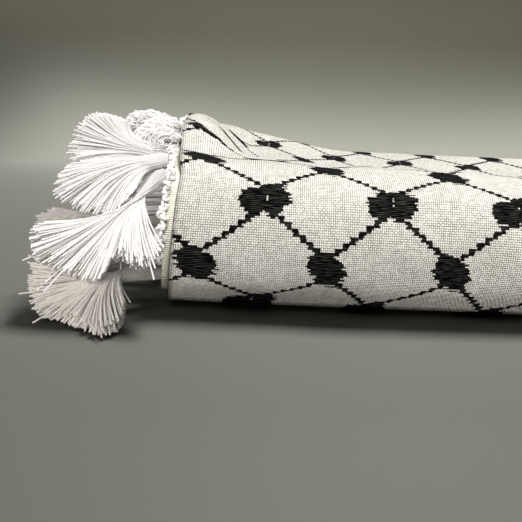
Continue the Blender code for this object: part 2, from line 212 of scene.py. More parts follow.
@dataclass(frozen=True)
class Fishnet:
    """The woven fishnet: a lattice of stepped lines with a dot at each crossing.

    Lengths are in millimetres on the cloth. Odd rows carry wide two-lobed dots and even
    rows carry narrow round ones. An oval has its middle and then its half sizes. A fleck
    and a bare float have their middle, their half width and the share of the dots that
    go without one.
    """

    repeat: float = 35.0
    picks_in_step: int = 3
    steps_in_half: int = 12
    first_column: float = -107.0
    first_row: float = 19.73
    dashes: tuple = (0.7, 1.05, 1.75)
    places: tuple = (0.05, 0.2, 0.6)
    lean: float = 1.42
    crossed: float = -2.5
    unsure: float = 0.35
    narrow: tuple = (0.0, 0.0, 5.3, 5.2)
    narrow_slant: float = 0.33
    left_lobe: tuple = (-3.4, -0.9, 3.9, 4.0)
    right_lobe: tuple = (1.9, 0.5, 4.9, 5.2)
    squareness: float = 1.75
    ragged: float = 0.24
    toothed: float = 0.5
    fleck: tuple = (0.1, 0.22, 0.66)
    bare_float: tuple = (-3.8, -4.2, 2.1, 0.5)
    threads_in_half: int = 30
    parted: tuple = (0.74, 0.8)
    parted_run: float = 2.9

    @property
    def half(self) -> float:
        """Distance between two rows of dots."""
        return self.repeat / 2

    @property
    def step(self) -> float:
        """Height of one step of a line."""
        return self.half / self.steps_in_half

    @property
    def pick(self) -> float:
        """Height of one black float."""
        return self.step / self.picks_in_step

    def wrapped(self, value: Value) -> tuple:
        """The distance from the nearest whole repeat, and that repeat's number."""
        number = round(value / self.repeat)
        return value - number * self.repeat, number

    def oval(self, x: Value, y: Value, oval: tuple) -> Value:
        """How far out in an oval a point lies: below 1 inside."""
        across, up = (x - oval[0]) / oval[2], (y - oval[1]) / oval[3]
        return abs(across) ** self.squareness + abs(up) ** self.squareness

    def leaned(self, centre: Value) -> Value:
        """Lean a line over between two rows, so that it meets each dot near its middle.

        Args:
            centre: How far the line has run.

        Returns:
            Its place along the cloth.
        """
        row = round(centre / self.half)
        past = centre - row * self.half
        out = self.half / 2 - (self.half / 2 - abs(past)) * self.lean
        return row * self.half + past.sign() * out.at_least(self.crossed)

    def lines(self, tree: Tree, u: Value, v: Value) -> Value:
        """The stepped lines of the lattice: 1 on a line.

        Args:
            tree: The tree to build in.
            u: Places along the cloth.
            v: Places across it.

        Returns:
            Whether each place is on a line.
        """
        step, pick = math.floor(v / self.step), math.floor(v / self.pick)
        place = pick - step * float(self.picks_in_step)
        late = place > 1.5
        middle = (place > 0.5) - late

        def of_pick(values: tuple) -> Value:
            """The value that belongs to this pick of the step."""
            first, second, third = values
            return late * (third - first) + (middle * (second - first) + first)

        side = math.floor(u / self.half)
        nudge = (tree.chance(pick, side, 8.0) - 0.5) * self.unsure
        centre = nudge + self.leaned((step + of_pick(self.places)) * self.step)
        half = (tree.chance(pick, side, 3.0) - 0.5) * self.unsure + of_pick(self.dashes)
        rising, falling = (abs(self.wrapped(run)[0]) for run in (u - centre, u + centre))
        return rising.at_most(falling) < half

    def dots(self, tree: Tree, u: Value, v: Value) -> Value:
        """The dots, without the white flecks in the wide ones: 1 on a dot.

        Args:
            tree: The tree to build in.
            u: Places along the cloth.
            v: Places across it.

        Returns:
            Whether each place is on a dot.
        """
        pair, pick = math.floor(v / (self.pick * 2)), math.floor(v / self.pick)
        level = (pair + 0.5) * (self.pick * 2)
        row = round(level / self.half)
        wide = row % 2.0
        up = level - row * self.half
        x, column = self.wrapped(u - wide * self.half)
        end = x.sign()
        narrow = self.oval(x + up * self.narrow_slant, up, self.narrow)
        lobes = self.oval(x, up, self.left_lobe).at_most(self.oval(x, up, self.right_lobe))
        shape = mix(wide, narrow, lobes)
        shape += (tree.chance(pair, column, end) - 0.5) * self.ragged
        shape += (tree.chance(pick, column, end + 4.0) - 0.5) * self.toothed
        place, half, share = self.fleck
        fleck = (abs(x - place) < half) * (tree.chance(pick, column, 7.0) > share)
        place, drop, half, share = self.bare_float
        low = abs(v - row * self.half - drop) < self.pick * 0.4
        bare = (abs(x - place) < half) * low * (tree.chance(row, column, 5.0) > share)
        return (shape < 1.0) * (1.0 - wide * fleck.at_least(bare))

    def ground(self, tree: Tree, u: Value, v: Value) -> tuple:
        """The plain weave between the lines.

        Args:
            tree: The tree to build in.
            u: Places along the cloth.
            v: Places across it.

        Returns:
            The height of the threads, from 0 in a gap to 1, and the painted shade of each place.
        """
        pitch = self.half / self.threads_in_half
        ends, picks = u / pitch, v / pitch
        end, pick = math.floor(ends), math.floor(picks)
        over = (end + pick) % 2.0
        crossing = tree.chance(end, pick, 6.0)
        round_end, round_pick = ((run.fraction() * math.pi).sine() for run in (ends, picks))
        weft = round_pick * (round_end * 0.45 + 0.55)
        warp = round_end * (round_pick * 0.45 + 0.55)
        uneven = (tree.chance(end, 1.0, 2.0) * 0.35 + 0.65) \
            * (tree.chance(pick, 4.0, 9.0) * 0.2 + 0.8) * (crossing * 0.4 + 0.6)
        # Painted shade: the gaps between threads, the lines where threads part and the cells where
        # the warp lies over are darkened as if in shadow, by random amounts.
        gaps = 1.0 - round_end, 1.0 - round_pick
        dark = gaps[0] * gaps[1] * (crossing * 4.2 + 1.0) * (over * 1.1 + 0.4)
        for gap, own, run, share in zip(gaps, (end, pick), (v, u), self.parted):
            parted = tree.chance(own, math.floor(run / self.parted_run), 5.0) > share
            dark += gap ** 2.0 * (parted * 0.6 + 0.05)
        dark += over * crossing * 0.14
        return mix(over, weft, warp) * uneven, dark

    def group(self) -> bpy.types.NodeTree:
        """Build the pattern as a node group.

        Returns:
            A group from a place on the cloth, in millimetres, to how black the cloth is
            there, the height of its threads and the painted shade of the white ground.
        """
        group = bpy.data.node_groups.new("fishnet weave", "ShaderNodeTree")
        for way, names in (("INPUT", ("Along", "Across")),
                           ("OUTPUT", ("Black", "Height", "Dark"))):
            for name in names:
                group.interface.new_socket(name, in_out=way, socket_type="NodeSocketFloat")
        tree = Tree(group)
        place = tree.node("NodeGroupInput").outputs
        u = Value(tree, place[0]) - self.first_column
        v = Value(tree, place[1]) - self.first_row
        black = self.lines(tree, u, v).at_least(self.dots(tree, u, v))
        # Dark is the painted shade of the white ground.
        weave, dark = self.ground(tree, u, v)
        floats = abs((v / self.pick * math.pi).sine()) * 0.7 + 0.75
        tree.node("NodeGroupOutput", {0: black, 1: mix(black, weave, floats), 2: dark})
        return group


class Finish:
    """A finish: builds its material once."""

    name: str

    def shade(self, tree: Tree, shader: bpy.types.Node) -> None:
        """Set up the shader; each finish has its own."""
        raise NotImplementedError

    def material(self) -> bpy.types.Material:
        """The finish's material, made the first time that it is asked for.

        Returns:
            The material.
        """
        found = bpy.data.materials.get(self.name)
        if found:
            return found
        made = bpy.data.materials.new(self.name)
        made.use_nodes = True
        tree = Tree(made.node_tree)
        shader = tree.node("ShaderNodeBsdfPrincipled")
        tree.node("ShaderNodeOutputMaterial", {"Surface": shader.outputs[0]})
        self.shade(tree, shader)
        return made

    @staticmethod
    def on_cloth(tree: Tree) -> tuple:
        """The place on the cloth in millimetres, from its UV map in metres.

        Args:
            tree: The tree to build in.

        Returns:
            Places along and across the cloth.
        """
        uv = tree.made("ShaderNodeUVMap", uv_map="cloth")
        place = tree.node("ShaderNodeSeparateXYZ", {0: uv}).outputs
        return Value(tree, place[0]) / MM, Value(tree, place[1]) / MM

    @staticmethod
    def emboss(tree: Tree, shader: bpy.types.Node, height: object, strength: float,
               depth: float) -> None:
        """Give the shader a relief.

        Args:
            tree: The tree to build in.
            shader: The shader to set up.
            height: The height of each place.
            strength: How strongly it shows.
            depth: Its depth in millimetres.
        """
        bump = tree.made("ShaderNodeBump", {"Strength": strength, "Distance": depth * MM,
                                            "Height": height})
        tree.feed(shader, {"Normal": bump})


@dataclass(frozen=True)
class WovenCotton(Finish):
    """White plain-woven cotton with the black fishnet in it."""

    name: str = "woven white cotton with black fishnet"
    white: tuple = (0.84, 0.82, 0.77, 1.0)
    # Painted shade: the colour of the shaded gaps between the white threads.
    shade_between: tuple = (0.12, 0.10, 0.07, 1.0)
    black: tuple = (0.002, 0.002, 0.0019, 1.0)
    # Painted highlight: the grey of light caught on the raised black threads.
    black_highlight: tuple = (0.075, 0.073, 0.068, 1.0)
    relief: float = 0.28
    roughness: float = 0.9
    specular: float = 0.01

    def shade(self, tree: Tree, shader: bpy.types.Node) -> None:
        """Colour and relief from the cloth's own UV map.

        Args:
            tree: The tree to build in.
            shader: The shader to set up.
        """
        u, v = self.on_cloth(tree)
        weave = tree.node("ShaderNodeGroup", {0: u, 1: v}, node_tree=FISHNET_GROUP).outputs
        slub = tree.noise(tree.vector(u * 0.35, v * 2.2, 0.0), 1.0)
        # The white ground darkens towards its painted shade, more where a smooth slub noise is
        # high.
        dark = Value(tree, weave["Dark"]) * (slub + 0.35)
        white = tree.colour(dark.at_most(1.0), self.white, self.shade_between)
        # Painted highlight on the raised parts of the black floats, in patches by a slub noise.
        proud = (Value(tree, weave["Height"]) - 0.75).at_least(0.0)
        highlight = (proud * 1.42) ** 4.0 * (slub * 4.0 - 1.6).at_least(0.0)
        black = tree.colour(highlight, self.black, self.black_highlight)
        tree.feed(shader, {"Base Color": tree.colour(weave["Black"], white, black),
                           "Roughness": self.roughness, "Specular IOR Level": self.specular})
        self.emboss(tree, shader, weave["Height"], 0.6, self.relief)


@dataclass(frozen=True)
class CreamWeave(Finish):
    """The ribbed cream edge, woven of unbleached yarn."""

    name: str = "cream woven edge"
    cream: tuple = (0.87, 0.84, 0.74, 1.0)
    # Painted shade: the colour in the furrows between the ribs.
    shade_between: tuple = (0.46, 0.42, 0.32, 1.0)
    rib: float = 0.62
    roughness: float = 0.85

    def shade(self, tree: Tree, shader: bpy.types.Node) -> None:
        """Ribs that run across the strip, from its own UV map, with painted shade in their furrows.

        Args:
            tree: The tree to build in.
            shader: The shader to set up.
        """
        u, v = self.on_cloth(tree)
        rib = abs((v * (math.pi / self.rib)).sine())
        twist = abs((v * 4.0 + u * 5.2).sine())
        # Painted shade in the furrows between the ribs, uneven by a noise.
        dark = (1.0 - rib) ** 1.6 * (tree.noise(tree.vector(u, v, 0.0), 1.3) + 0.3)
        tree.feed(shader, {"Base Color": tree.colour(dark, self.cream, self.shade_between),
                           "Roughness": self.roughness, "Sheen Weight": 0.08})
        self.emboss(tree, shader, twist * 0.25 + rib, 0.7, 0.2)


@dataclass(frozen=True)
class TwistedYarn(Finish):
    """Soft white cotton yarn, three-ply, each yarn a shade of its own."""

    name: str = "twisted white cotton yarn"
    white: tuple = (0.975, 0.955, 0.94, 1.0)
    grey: tuple = (0.94, 0.915, 0.895, 1.0)
    # Painted shade: the colour in the furrows between the plies.
    furrow_shade: tuple = (0.87, 0.835, 0.81, 1.0)
    plies: float = 3.0
    pitch: float = 2.4
    roughness: float = 0.8
    glow: float = 0.8

    def shade(self, tree: Tree, shader: bpy.types.Node) -> None:
        """Twist from the yarn's own attributes: along it, round it and its shade.

        Args:
            tree: The tree to build in.
            shader: The shader to set up.
        """
        along, turn, own = (tree.node("ShaderNodeAttribute", attribute_name=name).outputs
                            for name in ("along", "turn", "shade"))
        side = tree.node("ShaderNodeSeparateXYZ", {0: turn["Vector"]}).outputs
        wind = tree.math("ARCTAN2", side[1], side[0]) * (self.plies / 2)
        wind += Value(tree, along["Fac"]) * (math.pi * self.plies / (self.pitch * MM))
        ply = abs(wind.sine())
        body = tree.colour(own["Fac"], self.white, self.grey)
        # The furrows between the plies take a painted shade.
        tree.feed(shader, {
            "Base Color": tree.colour((1.0 - ply) ** 3.0 * 0.6, body, self.furrow_shade),
            "Roughness": self.roughness, "Specular IOR Level": 0.3,
            "Subsurface Weight": 0.4, "Subsurface Radius": (1.0, 0.97, 0.95),
            "Subsurface Scale": self.glow * MM})
        self.emboss(tree, shader, ply, 0.5, 0.06)


@dataclass(frozen=True)
class StudioPaper(Finish):
    """The plain pale paper that the pack lies on."""

    name: str = "pale studio paper"
    colour: tuple = (0.12, 0.12, 0.099, 1.0)
    roughness: float = 0.7

    def shade(self, tree: Tree, shader: bpy.types.Node) -> None:
        """One plain colour with a very faint mottle.

        Args:
            tree: The tree to build in.
            shader: The shader to set up.
        """
        mottle = tree.noise(tree.node("ShaderNodeTexCoord").outputs["Object"], 9.0)
        darker = tuple(c * 0.96 for c in self.colour[:3]) + (1.0,)
        tree.feed(shader, {"Base Color": tree.colour(mottle, self.colour, darker),
                           "Roughness": self.roughness})


FISHNET_GROUP = Fishnet().group()


@dataclass(frozen=True)
class Crease:
    """A soft ridge or trough in the form: middle, half sizes, slant and height."""

    x: float
    depth: float
    height: float
    along: float
    across: float
    slant: float
    rise: float


@dataclass(frozen=True)
class Pleat:
    """A narrow fold along a line on the cloth, given as (x, distance round the pack)."""

    start: tuple
    end: tuple
    width: float
    rise: float

    def lift(self, x: np.ndarray, round_pack: np.ndarray) -> np.ndarray:
        """How far the fold moves the cloth outwards at each point of a grid.

        Args:
            x: Places along the pack.
            round_pack: Distances round it.

        Returns:
            The lift of each point.
        """
        (x0, s0), (x1, s1) = self.start, self.end
        dx, ds = x1 - x0, s1 - s0
        length = math.hypot(dx, ds)
        share = ((x - x0) * dx + (round_pack - s0) * ds) / length ** 2
        off = ((x - x0) * ds - (round_pack - s0) * dx) / length
        ends = smooth(share * 4.0) * smooth((1.0 - share) * 4.0)
        return self.rise * np.exp(-(off / self.width) ** 2) * ends


@dataclass(frozen=True)
class PackForm:
    """The form of the folded pack: a section for every place along it.

    Each place has its depth, then its height at the puffed end, at the shoulder behind
    it and along the body.
    """

    left: float = -151.5
    right: float = 161.0
    puff_from: float = -149.3
    puff_reach: float = 11.5
    shoulder_from: float = -132.0
    shoulder_to: float = -78.0
    sole_front: float = -65.5
    sole_back: float = 80.0
    sole_edge: tuple = (88, 0.9)
    spacing: float = 1.7
    lean_reach: float = 30.0
    left_lean: tuple = ((0, 0), (38, 3.4), (57.5, -2.4))
    places: tuple = (
        (-71.4, 1.7, 1.6, 1.6), (-75, 8.8, 8.5, 8.5), (-75.9, 20.5, 20, 20),
        (-73.4, 32.6, 32, 31.6), (-67.5, 40.4, 38.5, 38), (-59, 44.4, 41.4, 41),
        (-50, 48.2, 41.8, 41), (-40, 51.6, 41.4, 39.6), (-28, 54.4, 39.4, 37),
        (-12, 56.8, 38.2, 35.4), (10, 57.6, 38.2, 34.8), (34, 58, 39.6, 35.2),
        (54, 58.4, 42.8, 36.9), (68, 58.6, 47.2, 40.6), (79, 57.8, 51, 43.6),
        (87, 53.6, 48, 42.2), (92, 44, 41, 37.2), (93, 32.5, 31, 30),
        (90.4, 23.9, 23.9, 23.9), (84.5, 22.4, 22.4, 22.4),
    )
    creases: tuple = (
        Crease(-38, -58, 41, 26, 16, 0, -1.8), Crease(-104, -76, 24, 30, 15, 0.05, 0.9),
        Crease(-66, -75, 12, 20, 9, -0.1, -0.9), Crease(22, -76, 24, 34, 16, 0.06, 1.1),
        Crease(74, -58, 41, 30, 15, 0, -1.3), Crease(-60, 58, 43, 24, 14, 0.12, 1.2),
        Crease(20, 52, 42, 34, 14, -0.1, -1.5), Crease(92, 20, 37, 36, 22, 0.15, 1.6),
        Crease(-20, -8, 36, 30, 18, -0.2, -1.4), Crease(60, 91, 34, 36, 10, 0, -1),
        Crease(-151, 60, 57, 8, 30, 0, -4.4), Crease(-131, 75, 49, 8, 16, 0, 0.6),
    )

    def heights(self, x: float) -> np.ndarray:
        """The places at one station, from the front foot over the top to the lip.

        Args:
            x: The station.

        Returns:
            A depth and a height for each place.
        """
        puff = math.exp(-((max(0.0, x - self.puff_from) / self.puff_reach) ** 2))
        reach = (self.shoulder_to - x) / (self.shoulder_to - self.shoulder_from)
        depth, puffed, shoulder, body = np.array(self.places).T
        height = body + (shoulder - body) * float(smooth(reach))
        return np.column_stack([depth, height + (puffed - shoulder) * puff])

    def steps(self) -> list[int]:
        """The number of steps in each span, about one for each spacing."""
        table = np.array(self.places)[:, [0, 3]]
        spans = np.linalg.norm(np.diff(table, axis=0), axis=1)
        return [max(2, round(span / self.spacing)) for span in spans]

    @staticmethod
    def outward(section: np.ndarray) -> np.ndarray:
        """Unit normals of a section that runs from the sole over the top to the back.

        Args:
            section: Its points.

        Returns:
            A normal for each point.
        """
        run = np.gradient(section, axis=0)
        normal = np.column_stack([-run[:, 1], run[:, 0]])
        return normal / np.linalg.norm(normal, axis=1)[:, None]

    def upper(self, x: float) -> np.ndarray:
        """The smooth outline above the sole at one station, with the main creases.

        Args:
            x: The station.

        Returns:
            The points of the outline.
        """
        section = spline(self.heights(x), self.steps())
        rise = np.zeros(len(section))
        for crease in self.creases:
            along = (x - crease.x) / crease.along
            depth = section[:, 0] - crease.depth - crease.slant * (x - crease.x)
            across = np.hypot(depth, section[:, 1] - crease.height) / crease.across
            rise += crease.rise * np.exp(-along * along - across * across)
        return section + self.outward(section) * rise[:, None]

    def above_lip(self) -> int:
        """The number of points of the upper outline that lie above the lip's fold."""
        steps = self.steps()
        return sum(steps[:-2]) + 1

    def leaned(self, x: float, section: np.ndarray) -> np.ndarray:
        """Stand a section at one station. Near the left edge it leans along X.

        Args:
            x: The station.
            section: Its points.

        Returns:
            The points with their places along the pack.
        """
        share = float(fade(x, self.left + self.lean_reach, -self.lean_reach))
        lean = np.interp(section[:, 1], *zip(*self.left_lean)) * share
        return np.column_stack([x + lean, section])


FORM = PackForm()


def grid_mesh(name: str, points: np.ndarray, uv: np.ndarray) -> bpy.types.Object:
    """Make a mesh of four-sided faces from a grid of points.

    Args:
        name: The object's name.
        points: Rows of points, in millimetres.
        uv: A place on the cloth for each point, in millimetres.

    Returns:
        The new object, smooth-shaded, with the UV map "cloth" in metres.
    """
    rows, columns = points.shape[:2]
    index = np.arange(rows * columns).reshape(rows, columns)
    faces = np.stack([index[:-1, :-1], index[1:, :-1], index[1:, 1:], index[:-1, 1:]], axis=-1)
    faces = faces.reshape(-1, 4)
    piece = mesh_piece(name, (points.reshape(-1, 3) * MM).tolist(), [], faces.tolist())
    layer = piece.data.uv_layers.new(name="cloth")
    layer.data.foreach_set("uv", (uv.reshape(-1, 2)[faces.ravel()] * MM).ravel())
    piece.data.shade_smooth()
    return piece


def mesh_piece(name: str, *parts: list) -> bpy.types.Object:
    """Make an object from its points in metres, its edges and its faces.

    Args:
        name: The object's name.
        parts: The points, the edges and the faces.

    Returns:
        The object.
    """
    mesh = bpy.data.meshes.new(name)
    mesh.from_pydata(*parts)
    return linked(name, mesh)


def linked(name: str, data: bpy.types.ID) -> bpy.types.Object:
    """Make an object of some data and put it in the scene.

    Args:
        name: The object's name.
        data: Its mesh, lamp or camera.

    Returns:
        The object.
    """
    made = bpy.data.objects.new(name, data)
    bpy.context.scene.collection.objects.link(made)
    return made


def settle(piece: bpy.types.Object) -> None:
    """Turn a piece's modifiers into plain mesh.

    Args:
        piece: The piece.
    """
    graph = bpy.context.evaluated_depsgraph_get()
    mesh = bpy.data.meshes.new_from_object(piece.evaluated_get(graph))
    piece.modifiers.clear()
    piece.data = mesh


def thicken(piece: bpy.types.Object, thickness: float) -> None:
    """Give a sheet its thickness, inwards from its face.

    Args:
        piece: The sheet.
        thickness: Its thickness in millimetres.
    """
    wall = piece.modifiers.new("wall", "SOLIDIFY")
    wall.thickness, wall.offset = thickness * MM, -1.0
    settle(piece)


def dress(piece: bpy.types.Object, finish: Finish, slot: str, *nodes: str) -> bpy.types.Object:
    """Give a piece its finish, hang it on the body and hide the solids that it stands for.

    Args:
        piece: The piece.
        finish: Its finish.
        slot: Not used.
        nodes: The solids that it stands for.

    Returns:
        The same piece.
    """
    piece.data.materials.clear()
    piece.data.materials.append(finish.material())
    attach(piece, BODY)
    if nodes:
        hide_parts(*nodes)
    LOG.info("%s: %d faces", piece.name, len(piece.data.polygons))
    return piece


@dataclass
class OuterCloth:
    """The one layer of cloth that shows, from the sole round the front to the back lip.

    The weave is placed on it by tables: a pair is a place along the pack and a place in
    the weave, a row is a place along the pack and a distance round it. A pin is a point
    on the cloth and how far the weave is drawn there. A fade is where it starts and how
    far it runs. The length and width of the flat sheet are in metres.
    """

    form: PackForm = FORM
    thickness: float = 0.5
    column: float = 1.6
    flat: tuple = (0.3125, 0.385)
    columns: tuple = ((-155, -151.4), (-144.4, -142), (-124.1, -124.5), (-107, -107), (180, 180))
    top_columns: tuple = ((-155, -162), (-151.5, -158.3), (-130, -129.8), (-107, -107),
                          (180, 180))
    low_row: tuple = ((-120, 8), (-95, 5), (-55, 4.6), (20, 4))
    crest_row: tuple = ((-145, 54.6), (-107.5, 52.7), (-74, 49.8), (20, 50.5))
    low_shift: tuple = ((-150, 3), (-120, 4.2), (-90, 5.6), (-40, 5.6), (60, 3.5))
    travels: tuple = (14.6, 24.4, 39)
    woven: tuple = (2.23, 14.8, 24.6, 37.23, 54.73)
    past_crest: tuple = ((95, 94.53), (400, 399.53))
    pins: tuple = (
        (-146, 76.5, 0, 12.5), (-128, 62, 0, 11.5), (-140, 105, 0, 9.5), (-136, 135, 0, 4),
        (-140, 165, -1, -1), (-117, 168, -1.5, -6.5), (-100, 178, -1.5, -4.5),
        (-75, 188, 2, 3), (-55.5, 170, 1.5, 6), (-41.5, 187, 3, 6), (-19, 176.5, 1, 2.5),
        (-7, 192, 2.5, 2.7),
    )
    pin_reach: float = 26.0
    pin_ease: float = 0.12
    pin_fade: tuple = (52, 10)
    body_shift: float = 0.9
    body_fade: tuple = (-105, 45)
    front_fade: tuple = (60, -12)
    top_fade: tuple = (80, 30)
    low_fade: tuple = (15, -10)
    lift_fade: tuple = (6, 10)
    wavy: float = 0.16
    wavy_across: float = 0.12
    sole_points: int = 34
    right_turn: tuple = ((4.2, 0.0), (2.6, 0.35), (1.4, 0.9), (0.5, 1.7), (0.0, 2.7))
    pleats: tuple = (
        Pleat((-153, 78), (-118, 73), 2.6, 1.1), Pleat((-150, 85), (-112, 76), 2.2, -1),
        Pleat((-120, 76), (-60, 79), 1.1, 0.35), Pleat((-96, 83), (-30, 85), 0.9, 0.3),
        Pleat((-70, 96), (20, 92), 1.5, 0.35), Pleat((-40, 70), (60, 73), 1.3, -0.35),
        Pleat((10, 84), (110, 80), 1.6, 0.4), Pleat((-120, 150), (-20, 158), 2.4, 0.6),
        Pleat((-60, 172), (80, 166), 2.8, 0.6), Pleat((20, 120), (140, 138), 3, 0.6),
        Pleat((-150, 44), (-120, 40), 4, 0.4), Pleat((-150, 30), (-135, 12), 3, -0.35),
        Pleat((40, 30), (120, 36), 5, -0.4), Pleat((-20, 12), (60, 18), 5, 0.35),
        Pleat((100, 190), (156, 180), 3, 0.5), Pleat((-140, 200), (-60, 205), 3.5, -0.5),
    )

    def stations(self) -> list[tuple]:
        """Places along the cloth, each with how far the section is drawn in there.

        Returns:
            The stations from left to right, closer together where the right edge turns in.
        """
        last = self.form.right - self.right_turn[0][0]
        count = round((last - self.form.left) / self.column)
        plain = np.linspace(self.form.left, last, count, endpoint=False)
        turned = [(self.form.right - back, drawn) for back, drawn in self.right_turn]
        return [(float(x), 0.0) for x in plain] + turned

    def woven_place(self, x: float, travel: np.ndarray) -> np.ndarray:
        """Where in the weave each point of one section lies.

        Args:
            x: The station.
            travel: Distances round the pack.

        Returns:
            Places along and across the weave.
        """
        low, crest, along, top, shift = (
            float(np.interp(x, *zip(*table))) for table in
            (self.low_row, self.crest_row, self.columns, self.top_columns, self.low_shift))
        foot = self.woven[0] - low
        travels, woven = zip(*self.past_crest)
        across = np.interp(travel, (-100.0, 0.0, low, *self.travels, crest, *travels),
                           (foot - 100.0, foot, *self.woven, *woven))
        body = self.body_shift * float(fade(x, *self.body_fade))
        across += body * fade(travel, *self.front_fade)
        along = along + (top - along) * fade(travel, *self.top_fade)
        along += shift * fade(travel, *self.low_fade)
        pins = np.array(self.pins)
        near = np.hypot(x - pins[:, 0], travel[:, None] - pins[:, 1]) / self.pin_reach
        pull = np.exp(-near ** 2)
        drawn = pull @ pins[:, 2:] / (pull.sum(axis=1) + self.pin_ease)[:, None]
        drawn *= fade(travel, *self.pin_fade)[:, None]
        return np.column_stack([along, across]) + drawn

    def section(self, x: float, drawn: float) -> tuple:
        """One section of the cloth.

        Args:
            x: The station.
            drawn: How far the section is drawn inwards.

        Returns:
            Its points, its normals and the distance of each round the pack.
        """
        sole = np.linspace(self.form.sole_back, self.form.sole_front, self.sole_points)
        under = np.column_stack([sole, np.zeros(len(sole))])
        section = np.vstack([[self.form.sole_edge], under, self.form.upper(x)])
        bend = len(under) + 2
        for _ in range(2):
            eased = (section[:-2] + section[2:]) / 2
            section[bend:-1] += (eased - section[1:-1])[bend - 1:] * 0.5
        travel = arc_lengths(section)
        travel -= travel[len(under)]
        normals = self.form.outward(section)
        return section - normals * drawn, normals, travel

    def lift(self, x: float, travel: np.ndarray) -> np.ndarray:
        """How far the pleats and a faint unevenness move one section outwards.

        Args:
            x: The station.
            travel: Distances round the pack.

        Returns:
            The lift of each point.
        """
        lift = sum(pleat.lift(np.full(len(travel), x), travel) for pleat in self.pleats)
        waves = np.sin(x * 0.21 + travel * 0.1) * np.sin(travel * 0.17 + 1.3)
        lift = lift + self.wavy * waves
        lift = lift + self.wavy_across * np.sin(x * 0.09 - travel * 0.13 + 2.0)
        return lift * fade(travel, *self.lift_fade)

    def build(self) -> bpy.types.Object:
        """Build the cloth.

        Returns:
            The dressed piece.
        """
        points, uv = [], []
        for x, drawn in self.stations():
            section, normals, travel = self.section(x, drawn)
            section = section + normals * self.lift(x, travel)[:, None]
            section[:, 1] = np.maximum(section[:, 1], 0.0)
            points.append(self.form.leaned(x, section))
            uv.append(self.woven_place(x + drawn * 0.5, travel))
        piece = grid_mesh("cloth_shell", np.array(points), np.array(uv))
        thicken(piece, self.thickness)
        return dress(piece, WovenCotton(), "cloth", "outer_cloth")


